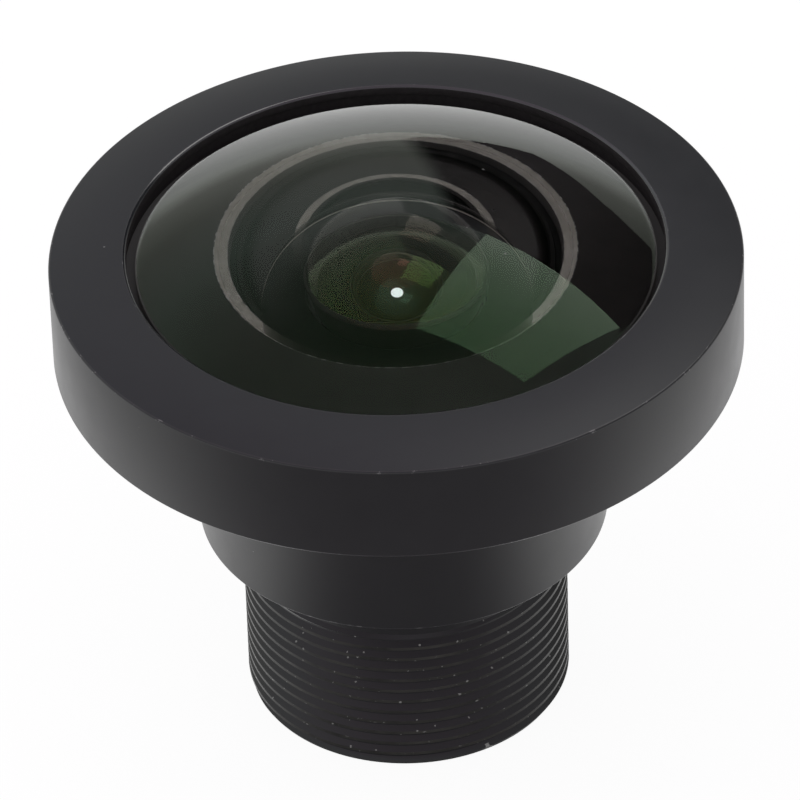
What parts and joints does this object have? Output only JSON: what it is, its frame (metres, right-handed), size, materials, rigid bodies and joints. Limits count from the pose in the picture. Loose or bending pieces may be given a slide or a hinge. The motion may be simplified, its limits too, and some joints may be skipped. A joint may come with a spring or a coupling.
{
  "type": "fisheye board lens",
  "caption": "Small fixed-focus fisheye lens with a domed front glass, a wide flat-sided head and a fine rear mounting thread.",
  "frame": {"origin": "centre of the rear end face, on the lens axis", "axes": "+Z along the lens axis, from the rear thread towards the front glass; the lens stands on its rear end"},
  "size_m": [0.025, 0.025, 0.0214],
  "materials": {
    "barrel_anodised": "matt black anodised, fine turned grain",
    "ring_anodised": "matt black anodised, blasted",
    "spacer_anodised": "dull black anodised",
    "front_glass": "polished, coated against reflections",
    "inner_glass": "polished, coated against reflections, blackened edge",
    "filter_glass": "polished, infrared-cut coating",
    "seal_rubber": "matt",
    "black_film": "matt black film",
    "stop_plate": "matt black"
  },
  "bodies": {
    "lens_barrel": {"main_barrel": "barrel_anodised", "front_element": "front_glass", "front_seal_ring": "seal_rubber", "front_spacer": "spacer_anodised", "second_element": "inner_glass", "front_light_mask": "black_film", "second_spacer": "spacer_anodised", "third_element": "inner_glass", "stop_spacer": "spacer_anodised", "aperture_stop": "stop_plate", "fourth_element": "inner_glass", "third_spacer": "spacer_anodised", "doublet_front_element": "inner_glass", "doublet_rear_element": "inner_glass", "fourth_spacer": "spacer_anodised", "rear_element": "inner_glass"},
    "front_washer": {"front_slip_washer": "black_film"},
    "front_ring": {"front_retaining_ring": "ring_anodised"},
    "rear_washer": {"rear_slip_washer": "black_film"},
    "rear_ring": {"rear_retaining_ring": "ring_anodised", "infrared_filter": "filter_glass"}
  },
  "joints": [
    {"name": "front_ring_lift", "type": "slide", "parent": "lens_barrel", "child": "front_washer", "axis": [0, 0, 1], "range_m": [0, 0.003]},
    {"name": "front_ring_turn", "type": "hinge", "parent": "front_washer", "child": "front_ring", "pos_m": [0, 0, 0.0172], "axis": [0, 0, 1], "range_deg": [0, 2160]},
    {"name": "rear_ring_drop", "type": "slide", "parent": "lens_barrel", "child": "rear_washer", "axis": [0, 0, -1], "range_m": [0, 0.00105]},
    {"name": "rear_ring_turn", "type": "hinge", "parent": "rear_washer", "child": "rear_ring", "pos_m": [0, 0, 0.0023], "axis": [0, 0, -1], "range_deg": [0, 1080]}
  ],
  "couplings": [
    {"joint": "front_ring_turn", "follows": "front_ring_lift", "rad_per_m": 12566},
    {"joint": "rear_ring_turn", "follows": "rear_ring_drop", "rad_per_m": 17952}
  ]
}
